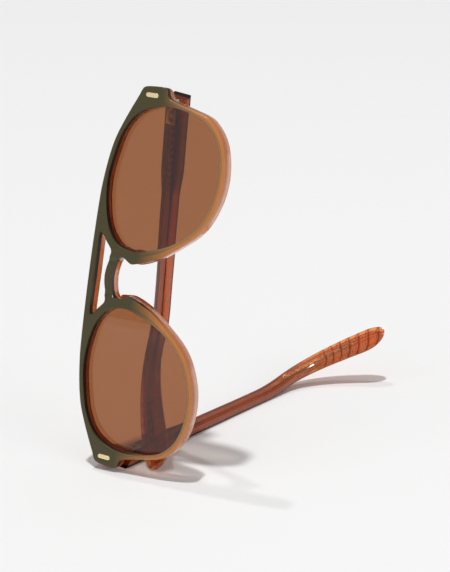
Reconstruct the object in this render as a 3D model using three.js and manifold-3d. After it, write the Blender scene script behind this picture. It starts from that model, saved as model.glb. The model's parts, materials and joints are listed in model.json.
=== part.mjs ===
// Double-bridge sunglasses in laminated acetate, standing on their right side:
// the right temple is open and lies on the ground, the left temple is folded.
//
// Everything is drawn in wearing axes (millimetres): x to the wearer's left,
// y up towards the brow, z forward out of the lenses, with the origin midway
// between the lenses on the front's face. The last step turns the whole pair
// so that it stands on z = 0.
import * as THREE from 'three';
import { mergeVertices } from 'three/addons/utils/BufferGeometryUtils.js';
import Module from 'manifold-3d';

const wasm = await Module();
wasm.setup();
const deg = THREE.MathUtils.degToRad;

// ---- driving dimensions ----
const GAP = 0.3; // clearance between neighbouring pieces
const FACE_THICK = 2.4; // dark outer lamination of the front
const BACK_THICK = 3.3; // amber inner lamination of the front
const FRONT_THICK = FACE_THICK + GAP + BACK_THICK;
const SAG_2 = 1.064e-3; // face curve: sag = SAG_2 x^2 - SAG_4 x^4
const SAG_4 = 0.888e-7;

const RIM_WIDTH = 2.0; // rim beside the lens opening
const LENS_DEPTH = 3.6; // lens front behind the face
const LENS_THICK = 1.7;
const LENS_BEVEL = 0.55; // how far the lens edge stands into its groove

const PLAQUE = { x: 67.5, y: 12.3, length: 5.2, width: 1.7, thick: 0.9 };
const STUD = { radius: 0.4, spacing: 2.6, length: 2.6 };

const HINGE = { x: 65, y: 8.9, z: -11.3 }; // hinge axis, left side
const HINGE_TILT = deg(17.7); // axis leans forward at its top
const KNUCKLE = { radius: 1.05, bore: 0.75, length: 2.2 };
const SCREW = { radius: 0.45, head: 0.9, length: 8.4 };
const LEAF_THICK = 0.7;

const TEMPLE_RISE = deg(4.2); // temple against the square to its axis
const OPEN_STOP = deg(6); // fully open, from straight back
const RIGHT_SWING = deg(13.2); // right temple as it stands
const LEFT_SWING = deg(81.6); // left temple folded
const TEMPLE_OUTER = 5.6; // outer face from the hinge axis
const TEMPLE_THICK = 4.0;
const SKIN_THICK = 1.0; // dark outer lamination of a temple
const TEMPLE_LENGTH = 129; // from the hinge axis, along the straight part
const DROP = { start: 93, slope: 1.43 }; // tip bends down behind the ear
const CURL = { start: 78, slope: 0.75 }; // and curls inwards
const CORE = { thick: 0.7, half: 1.1, start: 2, end: 121 };

const COLOURS = {
  dark: 0x4a4632,
  amber: 0xc96f33,
  lens: 0x8e5a3d,
  gold: 0xd8b25c,
  steel: 0xb9b2a2,
};

// ---- materials ----
function finish(colour, roughness, metalness = 0, opacity = 1) {
  const transparent = opacity < 1;
  return new THREE.MeshStandardMaterial({ color: colour, roughness, metalness, opacity, transparent });
}
const darkAcetate = () => finish(COLOURS.dark, 0.35);
const amberAcetate = () => finish(COLOURS.amber, 0.25);
const lensTint = () => finish(COLOURS.lens, 0.05, 0, 0.6);
const goldPlate = () => finish(COLOURS.gold, 0.3, 1);
const steel = () => finish(COLOURS.steel, 0.35, 1);

// ---- solids ----
const WELD = 1e-4; // vertices closer than this are one

function bareCopy(geometry) {
  const bare = geometry.clone();
  bare.deleteAttribute('normal');
  bare.deleteAttribute('uv');
  return mergeVertices(bare, WELD);
}

function toSolid(geometry) {
  const merged = bareCopy(geometry);
  const mesh = new wasm.Mesh({
    numProp: 3,
    vertProperties: new Float32Array(merged.attributes.position.array),
    triVerts: new Uint32Array(merged.index.array),
  });
  return new wasm.Manifold(mesh);
}

function toGeometry(solid) {
  const { vertProperties, triVerts } = solid.getMesh();
  const geometry = new THREE.BufferGeometry();
  geometry.setAttribute('position', new THREE.BufferAttribute(new Float32Array(vertProperties), 3));
  geometry.setIndex(new THREE.BufferAttribute(new Uint32Array(triVerts), 1));
  geometry.computeVertexNormals();
  return geometry;
}

function cut(geometry, ...tools) {
  return toGeometry(tools.reduce((solid, tool) => solid.subtract(toSolid(tool)), toSolid(geometry)));
}

function join(geometry, ...others) {
  return toGeometry(others.reduce((solid, other) => solid.add(toSolid(other)), toSolid(geometry)));
}

// Same piece for the other side of the face: x changes sign and the faces
// keep pointing outwards.
function mirrored(geometry) {
  const other = bareCopy(geometry);
  other.scale(-1, 1, 1);
  const index = other.index;
  for (let i = 0; i < index.count; i += 3) {
    const first = index.getX(i);
    index.setX(i, index.getX(i + 1));
    index.setX(i + 1, first);
  }
  other.computeVertexNormals();
  return other;
}

function reshape(geometry, change) {
  const position = geometry.attributes.position;
  const point = new THREE.Vector3();
  for (let i = 0; i < position.count; i += 1) {
    point.fromBufferAttribute(position, i);
    change(point);
    position.setXYZ(i, point.x, point.y, point.z);
  }
  geometry.computeVertexNormals();
  return geometry;
}

// ---- the curve of the face ----
const sag = (x) => SAG_2 * x * x - SAG_4 * x ** 4;
const curved = (geometry) => reshape(geometry, (p) => {
  p.z -= sag(p.x);
});

// A plate of the given outline between two depths behind the face.
function plate(shape, from, to) {
  const geometry = new THREE.ExtrudeGeometry(shape, { depth: to - from, bevelEnabled: false });
  geometry.translate(0, 0, -to);
  return geometry;
}

// ---- outlines, left half ----
const vec = (pairs) => pairs.map(([x, y]) => new THREE.Vector2(x, y));
const flip = (points) => points.map((p) => new THREE.Vector2(-p.x, p.y)).reverse();

const OPENING = new THREE.CatmullRomCurve3(
  [
    [64.2, 4], [63, 12], [59.1, 18.3], [52.8, 22.2], [44, 24.4], [34.8, 25.4],
    [25.5, 24.3], [17.3, 21.5], [12.3, 17], [10.7, 10.5], [12, 4], [16.6, -6.4],
    [24.1, -14.5], [34.8, -18.9], [45, -19.3], [55, -16.1], [61.4, -9.2],
  ].map(([x, y]) => new THREE.Vector3(x, y, 0)), true, 'centripetal');
const OPENING_STEPS = 60;

// The opening grown outwards by a margin, from one point of the loop to
// another; the loop runs anticlockwise from the outer side.
function openingLoop(margin, from = 0, to = 1, steps = OPENING_STEPS) {
  const count = Math.round(steps * (to - from));
  const closed = to - from === 1;
  return Array.from({ length: closed ? count : count + 1 }, (_, i) => {
    const t = (from + ((to - from) * i) / count) % 1;
    const p = OPENING.getPoint(t);
    const along = OPENING.getTangent(t);
    return new THREE.Vector2(p.x + along.y * margin, p.y - along.x * margin);
  });
}

// Brow line from the middle of the front to the end piece, then down its
// flat side to the notch where the rim begins.
const BROW = vec([
  [0, 27.5], [12, 27.5], [24, 27.5], [31, 27.4], [38, 26.9], [44.5, 26.1], [50.2, 24.9],
  [55.5, 23], [61.3, 20.5], [67.4, 17.6],
]);
const END_PIECE = vec([
  [69.6, 16.7], [70.1, 16.2], [70.8, 7.3], [70.2, 6.6], [68.4, 6.2], [67.4, 5.5],
]);
const RIM_FROM = 0.94; // where the plain rim starts, on the opening loop
const RIM_TO = 0.665; // and ends, at the nose
const NOSE_SIDE = vec([[9.9, -0.7], [8.7, 2], [7.6, 4.6], [6.6, 7.8]]);
const NOTCH = vec([[6, 10.3], [6.7, 11.9], [7.7, 13.6], [7.6, 15], [6.4, 16.3], [3.4, 17.3], [0, 17.7]]);

function frontOutline() {
  const rim = openingLoop(RIM_WIDTH, RIM_TO, RIM_FROM).reverse();
  const half = [...BROW, ...END_PIECE, ...rim, ...NOSE_SIDE, ...NOTCH];
  return [...half, ...flip(half).slice(1, -1)];
}

// Slot between the brow bar and the bridge: straight on top, its ends run
// down the rims and the bridge arches up between them.
function slotOutline() {
  const half = vec([
    [0, 25.05], [14, 25.2], [15.3, 24.9], [15.2, 24.1], [12.6, 21.9], [9.8, 19.5], [8.8, 19.3],
    [5.5, 20.2], [2.6, 20.7], [0, 20.9],
  ]);
  return [...half, ...flip(half).slice(1, -1)].reverse();
}

function frontShape() {
  const shape = new THREE.Shape(frontOutline());
  shape.holes.push(new THREE.Path(openingLoop(0)));
  shape.holes.push(new THREE.Path(flip(openingLoop(0))));
  shape.holes.push(new THREE.Path(slotOutline()));
  return shape;
}

// A lens, or the tool that cuts its groove: a disc whose edge is bevelled to
// a blunt ridge halfway through its thickness.
function lensDisc(margin, ridge, from, thick) {
  const loop = openingLoop(margin);
  const flat = 0.3; // blunt crest of the ridge
  const slope = (thick - flat) / 2;
  const geometry = new THREE.ExtrudeGeometry(new THREE.Shape(loop), {
    depth: flat,
    bevelEnabled: true,
    bevelThickness: slope,
    bevelSize: ridge,
    bevelSegments: 1,
    curveSegments: 1,
  });
  geometry.translate(0, 0, -(from + thick) + slope);
  return geometry;
}

const box = (x, y, z, cx, cy, cz) => new THREE.BoxGeometry(x, y, z).translate(cx, cy, cz);
const pill = (length, width) => {
  const r = width / 2;
  const straight = length / 2 - r;
  const shape = new THREE.Shape();
  shape.absarc(0, straight, r, 0, Math.PI, false);
  shape.absarc(0, -straight, r, Math.PI, 2 * Math.PI, false);
  return shape;
};
const PILL_SEGMENTS = 6;

function pillPlate(length, width, thick, cx, cy, backZ) {
  const geometry = new THREE.ExtrudeGeometry(pill(length, width), {
    depth: thick, bevelEnabled: false, curveSegments: PILL_SEGMENTS,
  });
  return geometry.translate(cx, cy, backZ);
}

// ---- plaque on the end piece: a plain gilt bar on two studs ----
const plaqueFront = -sag(PLAQUE.x) + 0.15;
function plaque(grow = 0) {
  const thick = PLAQUE.thick + grow;
  const bar = pillPlate(PLAQUE.length + 2 * grow, PLAQUE.width + 2 * grow, thick + grow * 4,
    PLAQUE.x, PLAQUE.y, plaqueFront - thick);
  const studs = [-1, 1].map((end) => new THREE.CylinderGeometry(
    STUD.radius + grow, STUD.radius + grow, STUD.length + grow, 10).rotateX(Math.PI / 2).translate(
    PLAQUE.x, PLAQUE.y + (end * STUD.spacing) / 2, plaqueFront - PLAQUE.thick - STUD.length / 2));
  return join(bar, ...studs);
}

// ---- hinge, drawn about its own axis (y), then placed ----
const KNUCKLE_PITCH = KNUCKLE.length + GAP;
const backFace = -sag(HINGE.x) - FRONT_THICK;

function barrel(y, radius, length) {
  return new THREE.CylinderGeometry(radius, radius, length, 16).translate(0, y, 0);
}
const bore = () => barrel(0, KNUCKLE.bore, 20);

function toHingeAxis(geometry) {
  return geometry.rotateX(-HINGE_TILT).translate(HINGE.x, HINGE.y, HINGE.z);
}

// Strap let into the back of the end piece; it is wider above the lens.
const STRAP = { inner: 65.35, outer: 67.2, bottom: 4.6, top: 15.6, wideFrom: 13.2, wideInner: 63.9 };
function strapPlate(grow, from, to) {
  const s = STRAP;
  const shape = new THREE.Shape(vec([
    [s.inner - grow, s.bottom - grow], [s.outer + grow, s.bottom - grow], [s.outer + grow, s.top + grow],
    [s.wideInner - grow, s.top + grow], [s.wideInner - grow, s.wideFrom - grow],
    [s.inner - grow, s.wideFrom - grow],
  ]));
  return new THREE.ExtrudeGeometry(shape, { depth: to - from, bevelEnabled: false }).translate(0, 0, from);
}

function frontLeaf() {
  const strap = strapPlate(0, backFace - 0.1, backFace - 0.1 + LEAF_THICK);
  const knuckle = (end) => toHingeAxis(barrel(end * KNUCKLE_PITCH, KNUCKLE.radius, KNUCKLE.length));
  const webs = [-1, 1].map((end) => {
    const centre = HINGE.z - end * KNUCKLE_PITCH * Math.sin(HINGE_TILT);
    const reach = (backFace + LEAF_THICK / 2 - 0.1 - centre) / Math.cos(HINGE_TILT);
    return toHingeAxis(box(1.3, KNUCKLE.length, reach, 0.95, end * KNUCKLE_PITCH, reach / 2));
  });
  const room = toHingeAxis(barrel(0, KNUCKLE.radius + GAP, KNUCKLE.length + 2 * GAP));
  return cut(join(strap, knuckle(-1), knuckle(1), ...webs), toHingeAxis(bore()), room);
}

// The temple's leaf turns with the temple; its plate lies on the inner face.
const LEAF = { from: 1.9, length: 5.6, height: 4.4 };
const leafPlane = TEMPLE_OUTER - TEMPLE_THICK - GAP;
function templeLeaf() {
  const middle = LEAF.from + LEAF.length / 2;
  const flat = box(LEAF_THICK, LEAF.height, LEAF.length, leafPlane - LEAF_THICK / 2, 0, -middle)
    .rotateX(TEMPLE_RISE);
  const neck = box(LEAF_THICK, KNUCKLE.length, LEAF.from + 1, leafPlane - LEAF_THICK / 2, 0, -LEAF.from / 2);
  const knuckle = barrel(0, KNUCKLE.radius, KNUCKLE.length);
  const holes = RIVET_PLACES.map((s) => rivetShank(s, RIVET.radius + GAP).rotateX(TEMPLE_RISE));
  return cut(join(flat, neck, knuckle), bore(), ...holes);
}

function hingeScrew() {
  const shank = barrel(0, SCREW.radius, SCREW.length);
  const head = barrel(SCREW.length / 2 + 0.3, SCREW.head, 0.7);
  const slot = box(3, 0.5, 0.3, 0, SCREW.length / 2 + 0.6, 0);
  return cut(join(shank, head), slot);
}

// Two rivets hold the leaf to the temple.
const RIVET = { radius: 0.45, head: 0.95, headThick: 0.4, reach: 1.6 };
const RIVET_PLACES = [3.2, 5.9];
function rivetShank(s, radius) {
  const length = 2.4;
  return new THREE.CylinderGeometry(radius, radius, length, 12).rotateZ(Math.PI / 2)
    .translate(leafPlane + 0.2, 0, -s);
}
function rivet(s) {
  const x0 = leafPlane - LEAF_THICK - GAP - RIVET.headThick;
  const end = RIVET.headThick + RIVET.reach;
  const profile = vec([
    [0, 0], [RIVET.head * 0.7, 0], [RIVET.head, RIVET.headThick * 0.6], [RIVET.head, RIVET.headThick],
    [RIVET.radius, RIVET.headThick], [RIVET.radius, end], [0, end],
  ]);
  return new THREE.LatheGeometry(profile, 12).rotateZ(-Math.PI / 2).translate(x0, 0, -s);
}

// ---- temple, drawn about the hinge axis: runs towards -z, outer side +x ----
const bendSlope = (bend, s) => (bend.slope * Math.max(s - bend.start, 0)) / (TEMPLE_LENGTH - bend.start);
const bendShift = (bend, s) => (bendSlope(bend, s) * Math.max(s - bend.start, 0)) / 2;

// Half the height of a temple along its length: deep at the hinge, stepped
// down to a slim shaft, then swelling again to the tip.
const HALF_HEIGHTS = [[-6, 4.75], [24, 4.7], [35, 3.45], [70, 3.1], [92, 3.2], [122, 4.15], [131, 4.15]];
const TIP_LENGTH = 5;
const STATIONS = [
  -5, 2, 10, 18, 24, 27, 30, 33, 36, 46, 57, 68, 78, 83, 88, 93, 97, 101, 105, 109, 113, 117, 121,
  ...[5, 3, 1.4, 0.4, 0].map((left) => TEMPLE_LENGTH - left),
];

function halfHeight(s) {
  const next = HALF_HEIGHTS.findIndex(([place]) => place > s);
  const [a, b] = next > 0 ? [HALF_HEIGHTS[next - 1], HALF_HEIGHTS[next]] : HALF_HEIGHTS.slice(-2);
  const h = a[1] + (b[1] - a[1]) * THREE.MathUtils.smoothstep(s, a[0], b[0]);
  const intoTip = Math.max(s - (TEMPLE_LENGTH - TIP_LENGTH), 0) / TIP_LENGTH;
  return h * Math.sqrt(1 - 0.93 * intoTip ** 2);
}

// A layer of the temple between two distances from the hinge axis. The drop
// turns each cross-section in the layer's own plane; the curl then bends the
// whole layer inwards.
function templeLayer(edge, from, to, inner, outer) {
  const stations = [from, ...STATIONS.filter((s) => s > from + 0.2 && s < to - 0.2), to];
  const n = stations.length - 1;
  return reshape(new THREE.BoxGeometry(2, 2, n, 1, 2, n), (p) => {
    const s = stations[Math.round(n / 2 - p.z)];
    const h = edge(s) * p.y;
    const dropTilt = Math.atan(bendSlope(DROP, s));
    const along = s + Math.sin(dropTilt) * h;
    const curlTilt = Math.atan(bendSlope(CURL, along));
    const off = (p.x > 0 ? outer : inner) - TEMPLE_OUTER;
    p.x = TEMPLE_OUTER - bendShift(CURL, along) + off * Math.cos(curlTilt);
    p.y = Math.cos(dropTilt) * h - bendShift(DROP, s);
    p.z = off * Math.sin(curlTilt) - along;
  });
}

// The butt is mitred: the outer face reaches further forward than the inner.
function mitreTool(grow) {
  return new THREE.BoxGeometry(20, 30, 20).translate(0, 0, 10).rotateY(-Math.PI / 4)
    .translate(INNER_X - grow, 0, -0.2 - grow);
}

const INNER_X = TEMPLE_OUTER - TEMPLE_THICK;
const SKIN_INNER = TEMPLE_OUTER - SKIN_THICK;
const CORE_X = INNER_X + 1.0;
const BUTT = STATIONS[0];
const leafHoles = () => RIVET_PLACES.map((s) => rivetShank(s, RIVET.radius + GAP));

function templeSkin() {
  return cut(templeLayer(halfHeight, BUTT, TEMPLE_LENGTH, SKIN_INNER, TEMPLE_OUTER), mitreTool(0));
}

// The amber layer is open at its butt, where the core wire is pushed in.
function templeBody() {
  const body = templeLayer(halfHeight, BUTT, TEMPLE_LENGTH, INNER_X, SKIN_INNER - GAP);
  const channel = templeLayer(() => CORE.half + GAP, BUTT - 3, CORE.end + GAP,
    CORE_X - GAP, CORE_X + CORE.thick + GAP);
  return cut(body, channel, mitreTool(0), ...leafHoles());
}

function templeCore() {
  const wire = templeLayer(() => CORE.half, CORE.start, CORE.end, CORE_X, CORE_X + CORE.thick);
  return cut(wire, ...leafHoles());
}

// ---- nose pad: a wedge behind the nose side of the rim ----
function nosePad() {
  const foot = vec([
    [8.9, 15.2], [6.9, 15.6], [6.1, 12.5], [5.8, 9.5], [6.6, 6.4], [7.9, 3.4], [9.2, 1.2], [10.6, 1.6],
    [9.8, 5], [9, 9], [9.3, 12.5],
  ]);
  const height = 5.4;
  const clearance = 0.42; // behind the front, where it curves back the most
  const geometry = new THREE.ExtrudeGeometry(new THREE.Shape(foot), { depth: height, bevelEnabled: false });
  geometry.translate(0, 0, -FRONT_THICK - clearance - height);
  return reshape(geometry, (p) => {
    const back = -(p.z + FRONT_THICK) / height;
    p.x += 1.7 * back;
    p.y += (9 - p.y) * 0.22 * Math.max(back, 0);
  });
}

// ---- assembly ----
function named(name, geometry, material) {
  const mesh = new THREE.Mesh(geometry, material);
  mesh.name = name;
  return mesh;
}

const glasses = new THREE.Group();
const forSide = (side, geometry) => (side > 0 ? geometry : mirrored(geometry));

function endPieceTools(side) {
  const behind = new THREE.BoxGeometry(20, 30, 20).translate(0, 0, -10).rotateY(-Math.PI / 4)
    .translate(INNER_X - 0.4, 0, 0.2);
  const mitre = toHingeAxis(behind.rotateY(OPEN_STOP));
  const pocket = strapPlate(GAP, backFace - 4, backFace - 0.1 + LEAF_THICK + GAP);
  return [mitre, pocket, plaque(GAP)].map((tool) => forSide(side, tool));
}

const blankFace = curved(plate(frontShape(), 0, FACE_THICK));
const lensGroove = lensDisc(-GAP, LENS_BEVEL + 2 * GAP, LENS_DEPTH - GAP, LENS_THICK + 2 * GAP);
const backPlate = plate(frontShape(), FACE_THICK + GAP, FRONT_THICK);
const blankBack = curved(cut(backPlate, lensGroove, mirrored(lensGroove)));
const sides = [1, -1]; // the wearer's left, then right
const endTools = sides.flatMap(endPieceTools);
glasses.add(named('front_face_lamination', cut(blankFace, ...endTools), darkAcetate()));
glasses.add(named('front_back_lamination', cut(blankBack, ...endTools), amberAcetate()));

for (const side of sides) {
  const name = side > 0 ? 'left' : 'right';
  const add = (group, part, geometry, material) => {
    group.add(named(`${name}_${part}`, forSide(side, geometry), material));
  };
  add(glasses, 'lens', curved(lensDisc(-GAP, LENS_BEVEL, LENS_DEPTH, LENS_THICK)), lensTint());
  add(glasses, 'nose_pad', nosePad(), amberAcetate());
  add(glasses, 'plaque', plaque(), goldPlate());
  add(glasses, 'hinge_front_leaf', frontLeaf(), steel());

  const hinge = new THREE.Group();
  hinge.position.set(side * HINGE.x, HINGE.y, HINGE.z);
  hinge.rotation.x = -HINGE_TILT;
  add(hinge, 'hinge_screw', hingeScrew(), steel());
  const swing = new THREE.Group();
  swing.rotation.y = side * (side > 0 ? LEFT_SWING : RIGHT_SWING);
  add(swing, 'hinge_temple_leaf', templeLeaf(), steel());
  const temple = new THREE.Group();
  temple.rotation.x = TEMPLE_RISE;
  RIVET_PLACES.forEach((s, i) => add(temple, `leaf_rivet_${i + 1}`, rivet(s), steel()));
  add(temple, 'temple', templeBody(), amberAcetate());
  add(temple, 'temple_skin', templeSkin(), darkAcetate());
  add(temple, 'temple_core', templeCore(), steel());
  swing.add(temple);
  hinge.add(swing);
  glasses.add(hinge);
}

// ---- stand the pair on the ground ----
// The ground is the plane of the right temple's outer face.
const up = new THREE.Vector3(1, 0, 0).applyAxisAngle(new THREE.Vector3(0, 1, 0), -RIGHT_SWING)
  .applyAxisAngle(new THREE.Vector3(1, 0, 0), -HINGE_TILT);
const back = new THREE.Vector3(0, 0, -1).projectOnPlane(up).normalize();
const side = new THREE.Vector3().crossVectors(back, up);
const standing = new THREE.Group();
standing.quaternion.setFromRotationMatrix(new THREE.Matrix4().makeBasis(side, back, up).transpose());
standing.add(glasses);
standing.updateMatrixWorld(true);
const bounds = new THREE.Box3().setFromObject(standing, true);
const middle = bounds.getCenter(new THREE.Vector3());
standing.position.set(-middle.x, -middle.y, -bounds.min.z);

const object = new THREE.Group();
object.add(standing);
export default object;
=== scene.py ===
"""Double-bridge sunglasses in laminated acetate, finished around their CAD frame.

Lengths inside the builders are millimetres in wearing axes: x to the wearer's
left, y up towards the brow, z forward out of the lenses, with the origin midway
between the lenses on the front's face. WEAR carries them into the frame, in
metres. Each temple has axes of its own, about its hinge pin.
"""

import json
import math

import bmesh
import bpy
from bpy.props import FloatProperty, FloatVectorProperty, PointerProperty
from mathutils import Matrix, Vector


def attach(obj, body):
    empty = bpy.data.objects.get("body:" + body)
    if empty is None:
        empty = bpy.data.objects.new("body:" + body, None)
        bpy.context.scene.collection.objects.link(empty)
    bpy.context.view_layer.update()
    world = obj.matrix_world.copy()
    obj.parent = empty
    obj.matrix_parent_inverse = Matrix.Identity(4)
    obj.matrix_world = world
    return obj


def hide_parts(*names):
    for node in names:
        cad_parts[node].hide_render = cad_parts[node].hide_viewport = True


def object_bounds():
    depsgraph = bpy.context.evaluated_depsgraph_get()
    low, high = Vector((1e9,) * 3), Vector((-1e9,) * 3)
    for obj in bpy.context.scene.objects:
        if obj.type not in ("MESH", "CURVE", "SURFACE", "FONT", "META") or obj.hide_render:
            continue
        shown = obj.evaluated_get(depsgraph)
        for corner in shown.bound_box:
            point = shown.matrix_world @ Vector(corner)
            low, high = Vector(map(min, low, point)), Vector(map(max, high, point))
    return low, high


bl_info = {
    "name": "Laminated sunglasses",
    "version": (1, 0, 0),
    "blender": (4, 5, 0),
    "location": "View3D > Sidebar > Sunglasses",
    "description": "Builds double-bridge sunglasses in laminated acetate on their CAD frame",
    "category": "Object",
}

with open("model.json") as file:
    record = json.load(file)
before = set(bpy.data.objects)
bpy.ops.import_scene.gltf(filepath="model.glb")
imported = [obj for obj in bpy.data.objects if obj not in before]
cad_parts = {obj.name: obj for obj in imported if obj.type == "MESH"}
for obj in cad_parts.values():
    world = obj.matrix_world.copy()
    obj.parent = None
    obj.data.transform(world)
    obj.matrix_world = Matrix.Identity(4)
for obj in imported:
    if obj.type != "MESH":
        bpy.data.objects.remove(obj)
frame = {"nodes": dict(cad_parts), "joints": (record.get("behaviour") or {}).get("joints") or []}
CAD_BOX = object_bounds()
SIDES = {"left": 1, "right": -1}

# ---- the frame's own axes ----
JOINTS = {"left": "left_temple_open", "right": "right_temple_fold"}
PINS = {j["name"]: j for j in frame["joints"]}
HINGE = Vector((65.0, 8.9, -11.3))
HINGE_TILT = math.radians(17.7)
TEMPLE_RISE = math.radians(4.2)
OPEN_STOP = math.radians(6)
SWING = {"left": math.radians(81.6), "right": math.radians(13.2)}


def wearing_axes():
    """The matrix from wearing axes in millimetres to the frame in metres."""
    left, right = (Vector(PINS[JOINTS[side]]["pos_m"]) for side in SIDES)
    across = (left - right).normalized()
    pin = -Vector(PINS[JOINTS["left"]]["axis"]).normalized()
    up = Matrix.Rotation(HINGE_TILT, 3, across) @ pin
    turn = Matrix((across, up, across.cross(up))).transposed()
    place = (left + right) / 2 - turn @ Vector((0, HINGE.y, HINGE.z)) / 1000
    return Matrix.Translation(place) @ turn.to_4x4() @ Matrix.Scale(0.001, 4)


WEAR = wearing_axes()


def temple_axes(side):
    """From a temple's own axes to the frame: hinge pin along y, outer side +x, running towards -z."""
    sign = SIDES[side]
    return (
        WEAR
        @ Matrix.Translation((sign * HINGE.x, HINGE.y, HINGE.z))
        @ Matrix.Rotation(-HINGE_TILT, 4, "X")
        @ Matrix.Rotation(sign * SWING[side], 4, "Y")
        @ Matrix.Rotation(TEMPLE_RISE, 4, "X")
        @ Matrix.Scale(sign, 4, (1, 0, 0))
    )


# ---- the front's measures ----
FACE_THICK = 2.45
FRONT_THICK = 6.0
SEAM = 0.02
SAG_2 = 1.064e-3
SAG_4 = 0.888e-7
RIM_WIDTH = 2.0
LENS_FRONT = 3.7
OUTLINE_STEP = 0.7

OPENING = [
    (64.2, 4), (63, 12), (59.1, 18.3), (52.8, 22.2), (44, 24.4), (34.8, 25.4),
    (25.5, 24.3), (17.3, 21.5), (12.3, 17), (10.7, 10.5), (12, 4), (16.6, -6.4),
    (24.1, -14.5), (34.8, -18.9), (45, -19.3), (55, -16.1), (61.4, -9.2),
]
BROW = [
    (0, 27.5), (12, 27.5), (24, 27.5), (31, 27.4), (38, 26.9), (44.5, 26.1), (50.2, 24.9),
    (55.5, 23), (61.3, 20.5), (67.4, 17.6),
]
END_PIECE = [(69.3, 16.8), (70.15, 15.9), (70.75, 7.9), (70.2, 6.7), (68.4, 6.2), (67.2, 5.2)]
RIM_FROM = 0.935
RIM_TO = 0.665
NOSE_SIDE = [(9.9, -0.7), (8.7, 2), (7.6, 4.6), (6.6, 7.8)]
NOTCH = [(6, 10.3), (6.7, 11.9), (7.7, 13.6), (7.6, 15), (6.4, 16.3), (3.4, 17.3), (0, 17.7)]
SLOT = [
    (0, 25.05), (7, 25.15), (14, 25.2), (15.3, 24.9), (15.2, 24.1), (12.6, 21.9), (9.8, 19.5),
    (8.8, 19.3), (5.5, 20.2), (2.6, 20.7), (0, 20.9),
]


def sag(x):
    return SAG_2 * x * x - SAG_4 * x**4


# ---- curves ----
def span_point(before, start, end, after, t):
    """A point on the centripetal Catmull-Rom span from start to end."""
    gap = [max((b - a).length, 1e-6) ** 0.5 for a, b in ((before, start), (start, end), (end, after))]
    leave = (start - before) / gap[0] - (end - before) / (gap[0] + gap[1]) + (end - start) / gap[1]
    arrive = (end - start) / gap[1] - (after - start) / (gap[1] + gap[2]) + (after - end) / gap[2]
    leave, arrive = leave * gap[1], arrive * gap[1]
    square = (end - start) * 3 - leave * 2 - arrive
    cube = (start - end) * 2 + leave + arrive
    return start + leave * t + square * t * t + cube * t**3


def smooth_line(points, step=OUTLINE_STEP, closed=False):
    """The points of a smooth line through the given ones, about a step apart."""
    points = [Vector(p) for p in points]
    if closed:
        ring = [points[-1], *points, *points[:2]]
    else:
        ring = [points[0] * 2 - points[1], *points, points[-1] * 2 - points[-2]]
    line = []
    for before, start, end, after in zip(ring, ring[1:], ring[2:], ring[3:]):
        count = max(1, round((end - start).length / step))
        line += [span_point(before, start, end, after, i / count) for i in range(count)]
    return line if closed else line + [points[-1]]


def outward(loop):
    """The unit vectors out of an anticlockwise loop, one for each point."""
    after = loop[1:] + loop[:1]
    before = loop[-1:] + loop[:-1]
    runs = [(b - a).normalized() for a, b in zip(before, after)]
    return [Vector((run.y, -run.x)) for run in runs]


def opening_point(share):
    """A point at a share of the opening's control loop, and its direction out of the opening."""
    points = [Vector(p) for p in OPENING]
    n = len(points)
    place = share * n
    i = int(place)
    near = [points[(i + k) % n] for k in (-1, 0, 1, 2)]
    here = span_point(*near, place - i)
    run = (span_point(*near, place - i + 0.01) - here).normalized()
    return here, Vector((run.y, -run.x))


def rim_line():
    """The outer edge of the plain rim, from the nose round to the end piece."""
    count = 16
    line = []
    for i in range(count + 1):
        point, out = opening_point(RIM_FROM + (RIM_TO - RIM_FROM) * i / count)
        line.append(point + out * RIM_WIDTH)
    return line


def mirrored_loop(half):
    """A half outline from the centre line to the centre line, closed by its mirror image."""
    other = [Vector((-p.x, p.y)) for p in reversed(half[1:-1])]
    return half + other


def front_outline():
    return mirrored_loop(smooth_line(BROW + END_PIECE + rim_line() + NOSE_SIDE + NOTCH))


def slot_outline():
    return mirrored_loop(smooth_line(SLOT))


def opening_outline(side):
    loop = smooth_line(OPENING, closed=True)
    return loop if side > 0 else [Vector((-p.x, p.y)) for p in reversed(loop)]


# ---- mesh helpers ----
def mesh_edges(found):
    return [e for e in found if isinstance(e, bmesh.types.BMEdge)]


def mesh_faces(found):
    return [f for f in found if isinstance(f, bmesh.types.BMFace)]


def mesh_verts(found):
    return [v for v in found if isinstance(v, bmesh.types.BMVert)]


def add_loop(bm, loop, level, out=None):
    """Draws a closed line of edges at one level. With out, each vertex remembers its way outwards."""
    away = bm.verts.layers.float_vector.get("away") or bm.verts.layers.float_vector.new("away")
    verts = [bm.verts.new((p.x, p.y, level)) for p in loop]
    for i, vert in enumerate(verts):
        vert[away] = (out[i].x, out[i].y, 0) if out else (0, 0, 0)
    for pair in zip(verts, verts[1:] + verts[:1]):
        bm.edges.new(pair)


def fill_plate(bm):
    """Fills the loops drawn so far with one flat sheet, holes left open."""
    return mesh_faces(bmesh.ops.triangle_fill(bm, use_beauty=True, edges=bm.edges[:])["geom"])


def deepen(bm, cap, level, grow=0.0, keep=False):
    """Carries a cap to another level, with a wall behind it, and moves marked edges outwards by grow."""
    away = bm.verts.layers.float_vector["away"]
    moved = bmesh.ops.extrude_face_region(bm, geom=cap)["geom"]
    if not keep:
        bmesh.ops.delete(bm, geom=cap, context="FACES")
    for vert in mesh_verts(moved):
        vert.co.z = level
        vert.co += vert[away] * grow
    return mesh_faces(moved)


def carry_down(bm, cap, profile):
    """Carries a cap down a profile of (depth, how far the wall moves outwards); the first cap stays."""
    for i, (depth, grow) in enumerate(profile):
        cap = deepen(bm, cap, -depth, grow, keep=i == 0)
    return cap


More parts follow.
